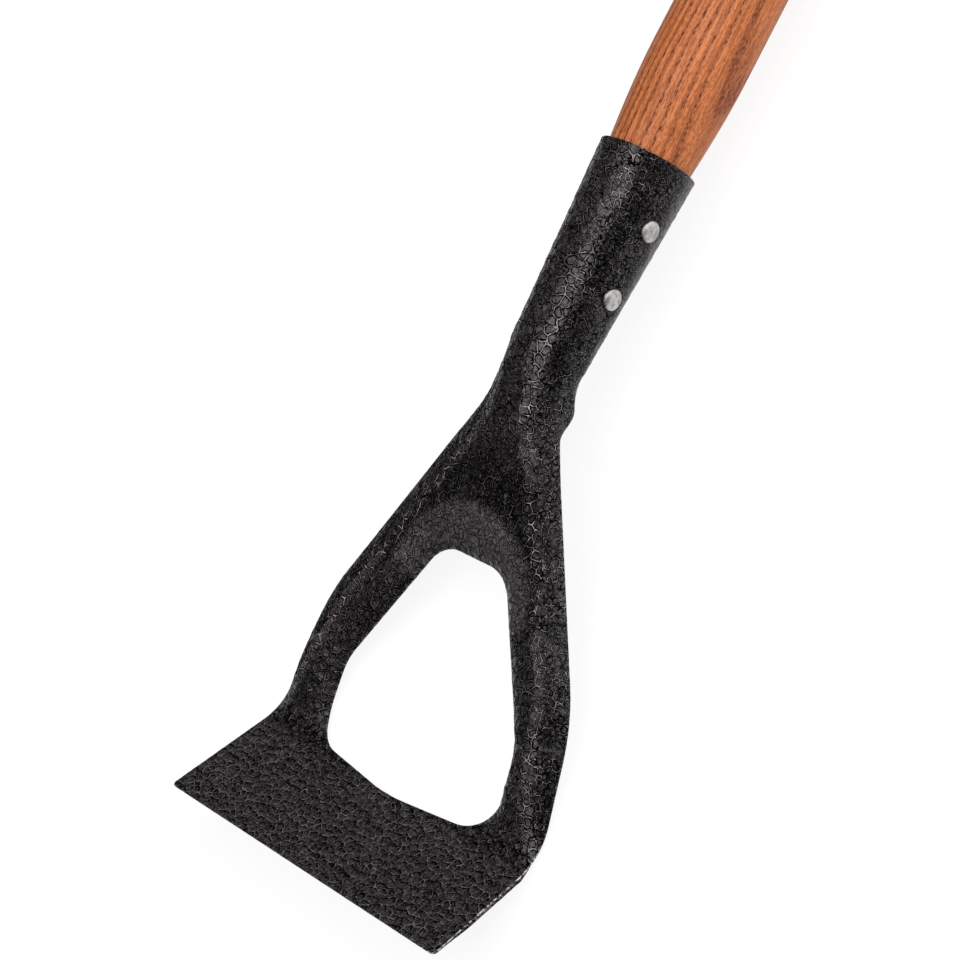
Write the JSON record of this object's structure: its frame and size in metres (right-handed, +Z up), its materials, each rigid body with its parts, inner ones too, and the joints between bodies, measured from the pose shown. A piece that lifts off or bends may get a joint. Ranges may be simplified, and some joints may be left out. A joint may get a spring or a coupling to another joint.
{
  "type": "dutch hoe",
  "caption": "Dutch hoe for push weeding: a flat blade on open channel arms that meet in a rolled socket, riveted to a long round ash shaft.",
  "frame": {"origin": "on the floor under the middle of the hoe as it lies there, blade up, on the bend behind its blade and the far end of its shaft", "axes": "+Y along the hoe from its blade to the far end of its shaft, +Z up, X across the blade"},
  "size_m": [0.1268, 1.553, 0.0403],
  "materials": {
    "black_hammered_coat": "black hammered stoving enamel, semi gloss",
    "oiled_ash": "stained and oiled ash, satin",
    "rivet_steel": "bare hammered rivet heads, dull"
  },
  "bodies": {
    "root": {"hoe_head": "black_hammered_coat", "shaft": "oiled_ash", "upper_rivet": "rivet_steel", "lower_rivet": "rivet_steel"}
  },
  "joints": []
}
